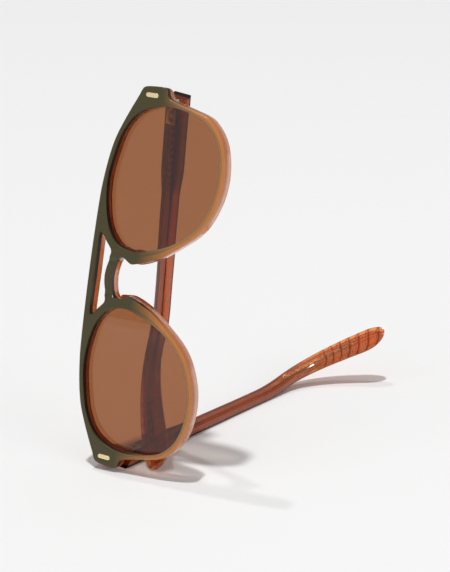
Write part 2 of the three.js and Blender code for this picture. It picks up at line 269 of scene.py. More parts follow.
def round_edge(bm, cap, start, end, radius, segments=4, border=0.25):
    """Rounds a cap's border from one level to another, and leaves a narrow flat border inside it."""
    inset = 0.0
    for i in range(1, segments + 1):
        angle = math.pi / 2 * i / segments
        reach = radius * (1 - math.cos(angle))
        bmesh.ops.inset_region(bm, faces=cap, thickness=reach - inset, use_boundary=True)
        inset = reach
        for vert in {v for face in cap for v in face.verts}:
            vert.co.z = start + (end - start) * math.sin(angle)
    bmesh.ops.inset_region(bm, faces=cap, thickness=border, use_boundary=True)


BRIDGE_REACH = 7.3
BRIDGE_RAMP = 1.8
BRIDGE_TOP = 23.0
BRIDGE_FOOT = 14.5


def slice_across(bm, step=1.5, reach=72):
    """Cuts a plate into strips across the face, so that it can bend."""
    count = round(reach / step)
    creases = [side * edge for side in (-1, 1) for edge in (BRIDGE_REACH, BRIDGE_REACH - BRIDGE_RAMP)]
    for x in [i * step for i in range(-count, count + 1)] + creases:
        everything = bm.verts[:] + bm.edges[:] + bm.faces[:]
        bmesh.ops.bisect_plane(bm, geom=everything, dist=1e-4, plane_co=(x, 0, 0), plane_no=(1, 0, 0))


def note_places(bm):
    """Each vertex of a plate remembers its depth below the face and whether it edges a lens opening."""
    away = bm.verts.layers.float_vector["away"]
    depth = bm.verts.layers.float.new("depth")
    opening = bm.verts.layers.float.new("opening")
    for vert in bm.verts:
        vert[depth] = -vert.co.z
        vert[opening] = min(1, vert[away].length)


def bend_to_face(bm):
    for vert in bm.verts:
        vert.co.z -= sag(vert.co.x)


def cut_away(bm, point, normal):
    """Removes what lies on the normal's side of a plane and closes the cut."""
    everything = bm.verts[:] + bm.edges[:] + bm.faces[:]
    cut = bmesh.ops.bisect_plane(
        bm, geom=everything, dist=1e-5, plane_co=point, plane_no=normal, clear_outer=True
    )["geom_cut"]
    edges = [e for e in mesh_edges(cut) if e.is_boundary]
    bmesh.ops.holes_fill(bm, edges=edges, sides=0)


def loft(bm, ring, stations, place):
    """A closed tube: the ring of section points is placed at each station in turn."""
    index = bm.verts.layers.int.new("index")
    along = bm.verts.layers.float.new("along")
    verts = [bm.verts.new(place(point, stations[0])) for point in ring]
    for i, vert in enumerate(verts):
        vert[index] = i
        vert[along] = stations[0]
    edges = [bm.edges.new(pair) for pair in zip(verts, verts[1:] + verts[:1])]
    bmesh.ops.edgeloop_fill(bm, edges=edges)
    for station in stations[1:]:
        moved = bmesh.ops.extrude_edge_only(bm, edges=edges)["geom"]
        fresh = set(mesh_verts(moved))
        for vert in fresh:
            vert.co = place(ring[vert[index]], station)
            vert[along] = station
        edges = [e for e in mesh_edges(moved) if fresh.issuperset(e.verts)]
    bmesh.ops.edgeloop_fill(bm, edges=edges)


def make_piece(bm, name, material, body, cad_node, sharp=35):
    """Makes a piece of a finished bmesh in the frame, on its body."""
    bmesh.ops.recalc_face_normals(bm, faces=bm.faces)
    mesh = bpy.data.meshes.new(name)
    bm.to_mesh(mesh)
    bm.free()
    mesh.shade_smooth()
    mesh.set_sharp_from_angle(angle=math.radians(sharp))
    mesh.materials.append(material)
    piece = bpy.data.objects.new(name, mesh)
    bpy.context.scene.collection.objects.link(piece)
    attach(piece, body)
    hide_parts(cad_node)


def stand(bm, name, place, material, body, cad_node, sharp=35):
    """Carries a bmesh from its own axes into the frame and makes a piece of it."""
    bmesh.ops.remove_doubles(bm, verts=bm.verts, dist=1e-4)
    bmesh.ops.transform(bm, matrix=place, verts=bm.verts)
    make_piece(bm, name, material, body, cad_node, sharp)


# ---- material helpers ----
ACETATE_IOR = 1.48
POLISH_DEPTH = 0.00005  # metres
# heights on the face between which the colours change, from the lower rims to the brow; on the back sheet
# this fades out a painted highlight
FACE_FADE = (-6, 8)
WALL_FADE = (-8, 4)
BACK_HIGHLIGHT_FADE = (-4, 8)
# depths below the face at which the outer sheet's wall starts and the lens groove ends; the painted shade on
# the walls of the lens openings stops at the groove
FACE_DEPTH = (0.3, 0.7)
GROOVE_DEPTH = (4.3, 4.7)
# distances along a temple from its pin
TIP_PALE = (85, 115)
TIP_GRID_START = (109, 111)
TIP_GRID_ALONG = 2.6
TIP_GRID_ACROSS = 0.58  # a share of the tip's half height
CHEVRON_PITCH = 2.6
CHEVRON_END = (31, 33)
KNURL_START = (90, 92)


def node(tree, kind, **values):
    """A new node with its settings and input values; an underscore stands for a space."""
    made = tree.nodes.new(kind)
    for name, value in values.items():
        if hasattr(made, name):
            setattr(made, name, value)
        else:
            made.inputs[name.replace("_", " ")].default_value = value
    return made


def feed(tree, socket, value):
    """Links a socket to another one, or sets it to a number or a plain colour."""
    if isinstance(value, bpy.types.NodeSocket):
        tree.links.new(value, socket)
    else:
        socket.default_value = (*value, 1) if socket.type == "RGBA" else value


def lay_out(tree):
    """Sets the nodes out in columns, each to the left of those it feeds."""
    columns = {made.name: 0 for made in tree.nodes}
    for _ in tree.nodes:
        for wire in tree.links:
            source = wire.from_node.name
            columns[source] = max(columns[source], columns[wire.to_node.name] + 1)
    filled = {}
    for name, column in columns.items():
        row = filled.get(column, 0)
        tree.nodes[name].location = (-220 * column, -380 * row)
        filled[column] = row + 1


def calc(tree, operation, *values):
    """A Math node's result from sockets and plain numbers."""
    made = node(tree, "ShaderNodeMath", operation=operation)
    for socket, value in zip(made.inputs, values):
        feed(tree, socket, value)
    return made.outputs[0]


def noise(tree, **values):
    """A noise texture over Object coordinates."""
    place = node(tree, "ShaderNodeTexCoord")
    made = node(tree, "ShaderNodeTexNoise", **values)
    tree.links.new(place.outputs["Object"], made.inputs["Vector"])
    return made


def stepped(tree, value, low, high):
    """0 below low, 1 above high."""
    step = node(tree, "ShaderNodeMapRange", From_Min=low, From_Max=high)
    tree.links.new(value, step.inputs["Value"])
    return step.outputs["Result"]


def ranged(tree, value, low, high):
    """Goes from low to high as the value goes from 0 to 1."""
    spread = node(tree, "ShaderNodeMapRange", To_Min=low, To_Max=high)
    tree.links.new(value, spread.inputs["Value"])
    return spread.outputs["Result"]


def mixed(tree, share, first, second):
    """A colour that goes from first to second; each is a socket or a plain colour."""
    mix = node(tree, "ShaderNodeMix", data_type="RGBA")
    for socket, value in (("Factor", share), ("A", first), ("B", second)):
        feed(tree, mix.inputs[socket], value)
    return mix.outputs["Result"]


def faded_colour(tree, value, low, high, stops):
    """A Color Ramp over a value that runs from low to high; its stops are pairs of place and colour."""
    ramp = node(tree, "ShaderNodeValToRGB")
    elements = ramp.color_ramp.elements
    elements.remove(elements[-1])
    elements[0].position, elements[0].color = stops[0][0], (*stops[0][1], 1)
    for place, colour in stops[1:]:
        elements.new(place).color = (*colour, 1)
    tree.links.new(stepped(tree, value, low, high), ramp.inputs["Fac"])
    return ramp.outputs["Color"]


def kept(tree, name):
    """The value of an attribute kept on the mesh."""
    return node(tree, "ShaderNodeAttribute", attribute_name=name).outputs["Fac"]


def height_on_face(tree):
    """Millimetres above the middle of the lenses, in wearing axes, from Object coordinates."""
    up = (WEAR.to_3x3() @ Vector((0, 1, 0))).normalized()
    place = node(tree, "ShaderNodeTexCoord")
    dot = node(tree, "ShaderNodeVectorMath", operation="DOT_PRODUCT")
    dot.inputs[1].default_value = up
    tree.links.new(place.outputs["Object"], dot.inputs[0])
    return calc(tree, "MULTIPLY_ADD", dot.outputs["Value"], 1000, -1000 * WEAR.translation.dot(up))


def new_material(name, **values):
    """A material holding only its output and a Principled shader with the values given."""
    material = bpy.data.materials.new(name)
    material.use_nodes = True
    tree = material.node_tree
    tree.nodes.clear()
    shader = node(tree, "ShaderNodeBsdfPrincipled", **values)
    output = node(tree, "ShaderNodeOutputMaterial")
    tree.links.new(shader.outputs["BSDF"], output.inputs["Surface"])
    return material, tree, shader


def let_lamps_through(tree, shader, tint):
    """Lamps shine through the piece in its own tint, instead of stopping at it."""
    surface = shader.outputs["BSDF"].links[0].to_socket
    path = node(tree, "ShaderNodeLightPath")
    clear = node(tree, "ShaderNodeBsdfTransparent", Color=(*tint, 1))
    mix = node(tree, "ShaderNodeMixShader")
    tree.links.new(path.outputs["Is Shadow Ray"], mix.inputs["Fac"])
    tree.links.new(shader.outputs["BSDF"], mix.inputs[1])
    tree.links.new(clear.outputs["BSDF"], mix.inputs[2])
    tree.links.new(mix.outputs["Shader"], surface)


# ---- surface groups ----
def socket_kind(name):
    return "NodeSocketColor" if name == "Color" else "NodeSocketFloat"


def surface_group(name, **inputs):
    """An empty shader node group that gives a colour, a roughness and a height."""
    tree = bpy.data.node_groups.new(name, "ShaderNodeTree")
    for socket, value in inputs.items():
        made = tree.interface.new_socket(socket, in_out="INPUT", socket_type=socket_kind(socket))
        made.default_value = value
    for socket in ("Color", "Roughness", "Height"):
        tree.interface.new_socket(socket, in_out="OUTPUT", socket_type=socket_kind(socket))
    return tree, node(tree, "NodeGroupInput"), node(tree, "NodeGroupOutput")


def give_surface(tree, given, made, change, height, rough):
    """Gives the colour times change, the height, and the roughness spread over a range by the height."""
    shade = node(tree, "ShaderNodeVectorMath", operation="SCALE")
    tree.links.new(given.outputs["Color"], shade.inputs[0])
    tree.links.new(change, shade.inputs["Scale"])
    tree.links.new(shade.outputs["Vector"], made.inputs["Color"])
    spread = calc(tree, "MULTIPLY", ranged(tree, height, *rough), given.outputs["Roughness"])
    tree.links.new(spread, made.inputs["Roughness"])
    tree.links.new(height, made.inputs["Height"])
    lay_out(tree)


def sheet_marbling():
    """Shared group: the faint cloudy swirls of sheet acetate and its hand-polished surface."""
    name = "sheet marbling"
    if name in bpy.data.node_groups:
        return bpy.data.node_groups[name]
    tree, given, made = surface_group(name, Color=(0.5, 0.5, 0.5, 1), Swirl=0.3, Roughness=0.2, Scale=60.0)
    cloud = noise(tree, Detail=4.0, Distortion=1.2)
    tree.links.new(given.outputs["Scale"], cloud.inputs["Scale"])
    centred = calc(tree, "SUBTRACT", cloud.outputs["Fac"], 0.5)
    change = calc(tree, "MULTIPLY_ADD", centred, given.outputs["Swirl"], 1.0)
    polish = noise(tree, Scale=900.0, Detail=3.0)
    give_surface(tree, given, made, change, polish.outputs["Fac"], (0.85, 1.2))
    return tree


def brushed_metal():
    """Shared group: fine drawn lines and a warm unevenness in small metal parts."""
    name = "brushed metal"
    if name in bpy.data.node_groups:
        return bpy.data.node_groups[name]
    tree, given, made = surface_group(name, Color=(0.8, 0.7, 0.5, 1), Roughness=0.25, Lines=2500.0)
    place = node(tree, "ShaderNodeTexCoord")
    stretch = node(tree, "ShaderNodeMapping", Scale=(1.0, 1.0, 0.08))
    lines = node(tree, "ShaderNodeTexNoise", Detail=2.0)
    tree.links.new(place.outputs["Object"], stretch.inputs["Vector"])
    tree.links.new(stretch.outputs["Vector"], lines.inputs["Vector"])
    tree.links.new(given.outputs["Lines"], lines.inputs["Scale"])
    tone = ranged(tree, lines.outputs["Fac"], 0.85, 1.08)
    give_surface(tree, given, made, tone, lines.outputs["Fac"], (0.7, 1.4))
    return tree


def finish_surface(tree, shader, group, colour, strength, **values):
    """Passes a colour through a surface group, and its colour, roughness and height to the shader."""
    detail = node(tree, "ShaderNodeGroup", node_tree=group, **values)
    feed(tree, detail.inputs["Color"], colour)
    bump = node(tree, "ShaderNodeBump", Strength=strength, Distance=POLISH_DEPTH)
    tree.links.new(detail.outputs["Height"], bump.inputs["Height"])
    tree.links.new(bump.outputs["Normal"], shader.inputs["Normal"])
    tree.links.new(detail.outputs["Color"], shader.inputs["Base Color"])
    tree.links.new(detail.outputs["Roughness"], shader.inputs["Roughness"])


# ---- materials ----
def face_acetate(colours):
    """The outer sheet of the front: olive on the brow, fading to amber on the lower rims.

    The lower rims have a pale brown edge beside the lens, a painted highlight standing in for light
    on the bevel there, and the sheet is darker through its thickness than on its face.
    """
    material, tree, shader = new_material(
        "faded olive acetate", Coat_Weight=0.12, Coat_Roughness=0.12, Specular_IOR_Level=0.35, IOR=ACETATE_IOR
    )
    level = height_on_face(tree)
    # painted highlight: the palest stops, beside the lens edge, stand in for light on the rounded bevel
    rim = faded_colour(
        tree, kept(tree, "opening"), 0, 1,
        [(0.0, colours.amber_rim), (0.6, colours.amber_rim), (0.75, colours.dark_amber),
         (0.85, colours.tan), (1.0, colours.tan)],
    )
    face = mixed(tree, stepped(tree, level, *FACE_FADE), rim, colours.olive)
    wall = mixed(tree, stepped(tree, level, *WALL_FADE), colours.amber_wall, colours.dark_skin)
    colour = mixed(tree, stepped(tree, kept(tree, "depth"), *FACE_DEPTH), face, wall)
    finish_surface(tree, shader, sheet_marbling(), colour, 0.04, Swirl=0.25, Roughness=0.28, Scale=90.0)
    lay_out(tree)
    return material


def front_colour(tree, colours):
    """Amber, paler and pinker on the lower rims as a painted highlight, and deep red as painted shade on the
    walls of the lens openings in front of the lenses.
    """
    # painted highlight: the back sheet is paler on the lower rims, standing in for light through and off its
    # walls
    amber = mixed(tree, stepped(tree, height_on_face(tree), *BACK_HIGHLIGHT_FADE), colours.painted_highlight_amber, colours.amber)
    # painted shade: the walls of the lens openings turn deep red in front of the lens groove
    before_lens = stepped(tree, kept(tree, "depth"), *GROOVE_DEPTH[::-1])
    wall = mixed(tree, before_lens, colours.amber, colours.painted_wall_shade)
    return mixed(tree, stepped(tree, kept(tree, "opening"), 0.6, 0.9), amber, wall)


def temple_colour(tree, colours):
    """Deep amber, paler at the tip, where a fine grid shows in it."""
    lines = []
    for name, pitch in (("along", TIP_GRID_ALONG), ("across", TIP_GRID_ACROSS)):
        turns = calc(tree, "MULTIPLY", kept(tree, name), 2 * math.pi / pitch)
        lines.append(stepped(tree, calc(tree, "COSINE", turns), 0.7, 0.9))
    along = kept(tree, "along")
    tip = calc(tree, "MULTIPLY", calc(tree, "MAXIMUM", *lines), stepped(tree, along, *TIP_GRID_START))
    sheet = mixed(tree, stepped(tree, along, *TIP_PALE), colours.deep_amber, colours.tip_amber)
    return mixed(tree, tip, sheet, colours.grid_line)


def skin_colour(tree, colours):
    """Near black at the hinge, fading to amber at the tip."""
    stops = [(0.0, colours.dark_skin), (0.25, colours.dark_skin), (0.7, colours.mid_skin),
             (0.86, colours.amber), (1.0, colours.amber)]
    return faded_colour(tree, kept(tree, "along"), 0, 130, stops)


def clear_acetate(name, colour, tint, transmission, rough, coat=0.0, swirl=0.35):
    """Translucent sheet; its colour is plain, or a function that draws it in the node tree."""
    material, tree, shader = new_material(
        name, Coat_Weight=coat, Coat_Roughness=0.1, Transmission_Weight=transmission, IOR=ACETATE_IOR
    )
    drawn = colour(tree) if callable(colour) else colour
    finish_surface(tree, shader, sheet_marbling(), drawn, 0.03, Swirl=swirl, Roughness=rough, Scale=140.0)
    let_lamps_through(tree, shader, tint)
    lay_out(tree)
    return material


def metal(name, colour, rough, lines, strength=0.1):
    material, tree, shader = new_material(name, Metallic=1.0)
    finish_surface(tree, shader, brushed_metal(), colour, strength, Roughness=rough, Lines=lines)
    lay_out(tree)
    return material


def core_metal(colour):
    """Core wire with chevrons rolled along its hinge half and a knurl towards the tip."""
    material, tree, shader = new_material("patterned core wire", Metallic=1.0, Roughness=0.35)
    along = kept(tree, "along")
    slant = calc(tree, "ADD", along, calc(tree, "ABSOLUTE", kept(tree, "across")))
    wave = calc(tree, "SINE", calc(tree, "MULTIPLY", slant, 2 * math.pi / CHEVRON_PITCH))
    chevron = calc(tree, "MULTIPLY", stepped(tree, wave, -0.2, 0.4), stepped(tree, along, *CHEVRON_END[::-1]))
    grit = noise(tree, Scale=1600.0, Detail=1.0).outputs["Fac"]
    speck = calc(tree, "MAXIMUM", stepped(tree, grit, 0.45, 0.55), stepped(tree, along, *KNURL_START[::-1]))
    mark = calc(tree, "MAXIMUM", chevron, calc(tree, "MULTIPLY", stepped(tree, along, *CHEVRON_END), speck))
    feed(tree, shader.inputs["Base Color"], mixed(tree, mark, [c * 0.35 for c in colour], colour))
    bump = node(tree, "ShaderNodeBump", Strength=0.8, Distance=0.0002)
    tree.links.new(mark, bump.inputs["Height"])
    tree.links.new(bump.outputs["Normal"], shader.inputs["Normal"])
    lay_out(tree)
    return material


def lens_glass(colour, tint):
    """Brown tinted lens, polished on both faces."""
    material, tree, shader = new_material("brown lens tint", Transmission_Weight=1.0, Roughness=0.0, IOR=1.5)
    cloud = noise(tree, Scale=25.0, Detail=1.0).outputs["Fac"]
    wash = mixed(tree, cloud, [c * 0.985 for c in colour], [min(1, c * 1.015) for c in colour])
    feed(tree, shader.inputs["Base Color"], wash)
    let_lamps_through(tree, shader, tint)
    lay_out(tree)
    return material


def studio_floor(colour):
    material, tree, shader = new_material("pale studio floor", Roughness=0.95, Specular_IOR_Level=0.0)
    grain = noise(tree, Scale=400.0, Detail=2.0).outputs["Fac"]
    feed(tree, shader.inputs["Base Color"], mixed(tree, grain, [c * 0.998 for c in colour], colour))
    lay_out(tree)
    return material


# ---- settings ----
def length_setting(name, description, default):
    return FloatProperty(name=name, description=description, default=default, min=0, subtype="DISTANCE",
                         unit="LENGTH")


def colour_setting(name, description, default):
    return FloatVectorProperty(name=name, description=description, default=default, size=3, min=0, max=1,
                               subtype="COLOR")


class SunglassesSizes(bpy.types.PropertyGroup):
    """Roundings and details that the frame leaves open."""

    edge_radius: length_setting("Edge radius", "Rounding of the front's outer edges", 0.0005)
    back_radius: length_setting("Back radius", "Rounding of the front's back edges", 0.0008)
    temple_radius: length_setting("Temple radius", "Rounding of the temple's long edges", 0.0012)
    bridge_step: length_setting("Bridge step", "How far the bridge's ends are sunk below the rims", 0.0015)
    plaque_radius: length_setting("Plaque radius", "Rounding of the gilt plaques", 0.00015)


class SunglassesColours(bpy.types.PropertyGroup):
    """Colours of the sheets, lenses and metal."""

    olive: colour_setting("Olive", "Brow colour of the front", (0.068, 0.056, 0.017))
    # painted highlight beside the lens edges of the lower rims, standing in for light on the bevel
    tan: colour_setting("Tan", "Edges of the lower rims beside the lenses", (0.33, 0.2, 0.085))
    amber_rim: colour_setting("Amber rim", "Colour of the lower rims", (0.58, 0.21, 0.05))
    amber_wall: colour_setting("Amber wall", "The lower rims through their thickness", (0.52, 0.17, 0.05))
    dark_amber: colour_setting("Dark amber", "Line beside the edges of the lower rims", (0.2, 0.06, 0.02))
    amber: colour_setting("Amber", "Colour of the inner sheets", (0.85, 0.27, 0.08))
    # painted highlight: paler and pinker back sheet on the lower rims, standing in for light through and off
    # it
    painted_highlight_amber: colour_setting("Pale amber", "The back sheet on the lower rims", (0.9, 0.46, 0.3))
    deep_amber: colour_setting("Deep amber", "Colour of the temples' inner sheets", (0.62, 0.12, 0.025))
    tip_amber: colour_setting("Tip amber", "Colour of the temple tips", (0.98, 0.4, 0.15))
    # painted shade: deep red on the walls of the lens openings in front of the lenses
    painted_wall_shade: colour_setting("Opening wall", "Walls of the lens openings", (0.13, 0.008, 0.002))
    dark_skin: colour_setting("Dark skin", "Outer sheet of the temples at the hinge", (0.02, 0.012, 0.008))
    mid_skin: colour_setting("Middle skin", "Outer sheet of the temples halfway", (0.25, 0.07, 0.02))
    lens: colour_setting("Lens", "What the lenses let through", (0.34, 0.12, 0.042))
    grid_line: colour_setting("Grid line", "Lines of the grid in the temple tips", (0.42, 0.08, 0.02))
    gilt: colour_setting("Gilt", "Gilt plaques", (1.0, 0.8, 0.45))
    steel: colour_setting("Steel", "Hinges, screws and core wires", (0.78, 0.7, 0.56))
    floor: colour_setting("Floor", "Studio floor", (0.92, 0.92, 0.92))


def mm(length):
    return length * 1000


# ---- the front ----
def front_plate(bm, level):
    """The front's outline and its three openings, filled at one level."""
    add_loop(bm, front_outline(), level)
    add_loop(bm, slot_outline(), level)
    for sign in SIDES.values():
        loop = opening_outline(sign)
        add_loop(bm, loop, level, outward(loop))
    return fill_plate(bm)


def bridge_drop(x, step):
    """How far the bridge's surface lies below the rims: crowned in the middle, with a ramp at each end."""
    crown = 0.25 + 0.75 * (x / BRIDGE_REACH) ** 2
    return step * crown * min(1.0, max(0.0, BRIDGE_REACH - abs(x)) / BRIDGE_RAMP)


def sink_bridge(bm, step):
    for vert in bm.verts:
        if BRIDGE_FOOT < vert.co.y < BRIDGE_TOP:
            share = max(0.0, 1 + vert.co.z / FACE_THICK)
            vert.co.z -= bridge_drop(vert.co.x, step) * share


class SUNGLASSES_OT_front_face(bpy.types.Operator):
    """Outer sheet of the front, with its polished edges and the sunk bridge"""

    bl_idname = "sunglasses.front_face"
    bl_label = "Front face"

    def execute(self, context):
        sizes = context.scene.sunglasses_sizes
        radius = mm(sizes.edge_radius)
        bm = bmesh.new()
        cap = front_plate(bm, -FACE_THICK)
        cap = deepen(bm, cap, -radius, keep=True)
        round_edge(bm, cap, -radius, 0, radius)
        note_places(bm)
        slice_across(bm)
        sink_bridge(bm, mm(sizes.bridge_step))
        bend_to_face(bm)
        material = face_acetate(context.scene.sunglasses_colours)
        stand(bm, "front_face_sheet", WEAR, material, "front", "front_face_lamination", 22)
        return {"FINISHED"}


# depths, then how far the wall moves outwards
GROOVE = [(3.75, 0.0), (4.3, 0.6), (4.6, 0.0), (5.15, -0.6)]
LENS_EDGE = [(4.3, 0.5), (4.6, 0.0), (5.2, -0.5)]


def end_cut(side):
    """A point and the outward normal of the mitre across the back of an end piece."""
    turn = Matrix.Rotation(-HINGE_TILT, 4, "X") @ Matrix.Rotation(OPEN_STOP, 4, "Y")
    place = Matrix.Translation(HINGE) @ turn
    point = place @ Vector((1.2, 0, 0.2))
    normal = turn.to_3x3() @ Vector((1, 0, -1)).normalized()
    return Vector((point.x * side, point.y, point.z)), Vector((normal.x * side, normal.y, normal.z))


class SUNGLASSES_OT_front_back(bpy.types.Operator):
    """Inner sheet of the front, grooved for the lenses and mitred behind the end pieces"""

    bl_idname = "sunglasses.front_back"
    bl_label = "Front back"

    def execute(self, context):
        radius = mm(context.scene.sunglasses_sizes.back_radius)
        colours = context.scene.sunglasses_colours
        bm = bmesh.new()
        cap = front_plate(bm, -FACE_THICK - SEAM)
        cap = carry_down(bm, cap, GROOVE)
        cap = deepen(bm, cap, -FRONT_THICK + radius)
        round_edge(bm, cap, -FRONT_THICK + radius, -FRONT_THICK, radius)
        note_places(bm)
        slice_across(bm)
        bend_to_face(bm)
        for sign in SIDES.values():
            cut_away(bm, *end_cut(sign))
        material = clear_acetate(
            "amber front acetate", lambda tree: front_colour(tree, colours), (0.4, 0.33, 0.3), 0.5, 0.12, 0.7
        )
        stand(bm, "front_back_sheet", WEAR, material, "front", "front_back_lamination")
        return {"FINISHED"}


class SUNGLASSES_OT_lenses(bpy.types.Operator):
    """Tinted lenses with bevelled edges, curved like the face"""

    bl_idname = "sunglasses.lenses"
    bl_label = "Lenses"

    def execute(self, context):
        colours = context.scene.sunglasses_colours
        material = lens_glass(colours.lens, (0.5, 0.45, 0.42))
        for side, sign in SIDES.items():
            bm = bmesh.new()
            loop = opening_outline(sign)
            out = outward(loop)
            edge = [p - q * 0.1 for p, q in zip(loop, out)]
            add_loop(bm, edge, -LENS_FRONT, out)
            carry_down(bm, fill_plate(bm), LENS_EDGE)
            slice_across(bm, 1.0, 66)
            bend_to_face(bm)
            stand(bm, f"{side}_tinted_lens", WEAR, material, "front", f"{side}_lens")
        return {"FINISHED"}


# ---- temples ----
TEMPLE_OUTER = 5.6
TEMPLE_THICK = 4.0
SKIN_THICK = 1.0
TEMPLE_LENGTH = 129.0
BUTT = -5.0
DROP = (93.0, 1.43)
CURL = (78.0, 0.75)
HALF_HEIGHTS = [(-6, 4.75), (24, 4.7), (35, 3.45), (70, 3.1), (92, 3.2), (122, 4.15), (131, 4.15)]
TIP_LENGTH = 5.0
CORE = {"from": 2.0, "to": 121.0, "x": 2.6, "thick": 0.7, "half": 1.1}
MIDDLE_X = TEMPLE_OUTER - TEMPLE_THICK / 2
INNER_X = TEMPLE_OUTER - TEMPLE_THICK


def half_height(s):
    """Half the temple's height at a distance from the pin: stepped down behind the hinge, full at the tip."""
    for (start, low), (end, high) in zip(HALF_HEIGHTS, HALF_HEIGHTS[1:]):
        if s <= end:
            break
    t = min(1.0, max(0.0, (s - start) / (end - start)))
    half = low + (high - low) * t * t * (3 - 2 * t)
    into = max(0.0, s - (TEMPLE_LENGTH - TIP_LENGTH)) / TIP_LENGTH
    return half * math.sqrt(1 - 0.93 * into**2)


def thinning(s):
    """How the tip thins out at its very end."""
    into = max(0.0, s - (TEMPLE_LENGTH - 2)) / 2
    return math.sqrt(1 - 0.8 * into**2)


def bend_at(bend, s):
    """A bend's slope and how far it has carried the temple aside."""
    start, slope = bend
    past = max(s - start, 0)
    here = slope * past / (TEMPLE_LENGTH - start)
    return here, here * past / 2


def temple_place(x, h, s):
    """A point of the temple: x from the pin, h above the middle line, s along it."""
    drop, fall = bend_at(DROP, s)
    tilt = math.atan(drop)
    along = s + math.sin(tilt) * h
    curl, aside = bend_at(CURL, along)
    turn = math.atan(curl)
    off = x - TEMPLE_OUTER
    return Vector(
        (TEMPLE_OUTER - aside + off * math.cos(turn), math.cos(tilt) * h - fall, off * math.sin(turn) - along)
    )


def sheet_section(inner, outer, inner_radius, outer_radius):
    """Section of a temple sheet as (x, side, inset) points: side is +1 above the middle and -1 below."""
    ring = []
    for x, radius, quarters in ((outer, outer_radius, (0, 90)), (inner, inner_radius, (90, 180))):
        sign = 1 if x == outer else -1
        for angle in range(quarters[0], quarters[1] + 1, 18):
            turn = math.radians(angle)
            ring.append((x - sign * radius + radius * math.cos(turn), 1, radius * (1 - math.sin(turn))))
    return ring + [(x, -1, inset) for x, _, inset in reversed(ring)]


def sheet_place(point, s):
    x, side, inset = point
    half = half_height(s)
    slim = thinning(s)
    x = MIDDLE_X + (x - MIDDLE_X) * slim
    return temple_place(x, side * (half - min(inset, half * 0.6)), s)


def temple_stations(start, end, step=1.5):
    """Stations along a temple, closer together round the tip."""
    tip = TEMPLE_LENGTH - TIP_LENGTH
    count = round((min(end, tip) - start) / step)
    line = [start + (min(end, tip) - start) * i / count for i in range(count + 1)]
    if end > tip:
        line += [tip + TIP_LENGTH * math.sin(math.pi / 2 * i / 10) for i in range(1, 11)]
    return line


def mitre(bm):
    cut_away(bm, (INNER_X, 0, -0.2), (-1, 0, 1))


def note_across(bm, ring):
    """Each vertex of a lofted piece remembers its height in the section."""
    index = bm.verts.layers.int["index"]
    across = bm.verts.layers.float.new("across")
    for vert in bm.verts:
        vert[across] = ring[vert[index]][1]


class SUNGLASSES_OT_temples(bpy.types.Operator):
    """Amber temples with their outer skins and core wires"""

    bl_idname = "sunglasses.temples"
    bl_label = "Temples"

    def execute(self, context):
        sizes = context.scene.sunglasses_sizes
        colours = context.scene.sunglasses_colours
        radius = mm(sizes.temple_radius)
        amber = clear_acetate(
            "amber temple acetate", lambda tree: temple_colour(tree, colours), (0.3, 0.24, 0.21), 0.8, 0.06,
            coat=0.25,
        )
        skin = clear_acetate(
            "faded temple acetate", lambda tree: skin_colour(tree, colours), (0.25, 0.16, 0.12), 0.55, 0.15,
            swirl=0.3,
        )
        core = core_metal(colours.steel)
        seam_x = TEMPLE_OUTER - SKIN_THICK
        for side in SIDES:
            place = temple_axes(side)
            body = f"{side}_temple"
            bm = bmesh.new()
            ring = sheet_section(INNER_X, seam_x - SEAM, radius, 0.01)
            loft(bm, ring, temple_stations(BUTT, TEMPLE_LENGTH), sheet_place)
            note_across(bm, ring)
            mitre(bm)
            stand(bm, f"{side}_temple_amber", place, amber, body, body)
            bm = bmesh.new()
            ring = sheet_section(seam_x, TEMPLE_OUTER, 0.01, radius * 0.6)
            loft(bm, ring, temple_stations(BUTT, TEMPLE_LENGTH), sheet_place)
            mitre(bm)
            stand(bm, f"{side}_temple_outer_skin", place, skin, body, f"{body}_skin")
            bm = bmesh.new()
            self.core(bm)
            stand(bm, f"{side}_core_wire", place, core, body, f"{body}_core")
        return {"FINISHED"}

    def core(self, bm):
        """Flat wire with softened edges and rounded ends."""
        half, x, thick = CORE["half"], CORE["x"], CORE["thick"]
        soft = 0.15
        ring = [
            (x, -half + soft), (x + soft, -half), (x + thick - soft, -half), (x + thick, -half + soft),
            (x + thick, 0), (x + thick, half - soft), (x + thick - soft, half), (x + soft, half),
            (x, half - soft), (x, 0),
        ]

        def place(point, s):
            into = min(s - CORE["from"], CORE["to"] - s)
            slim = math.sin(math.pi / 2 * min(1, 0.25 + into))
            return temple_place(point[0], point[1] * slim, s)

        start, end = CORE["from"], CORE["to"]
        inside = temple_stations(start + 1, end - 1, 0.65)
        loft(bm, ring, [start, start + 0.3, start + 0.6, *inside, end - 0.6, end - 0.3, end], place)
        note_across(bm, ring)


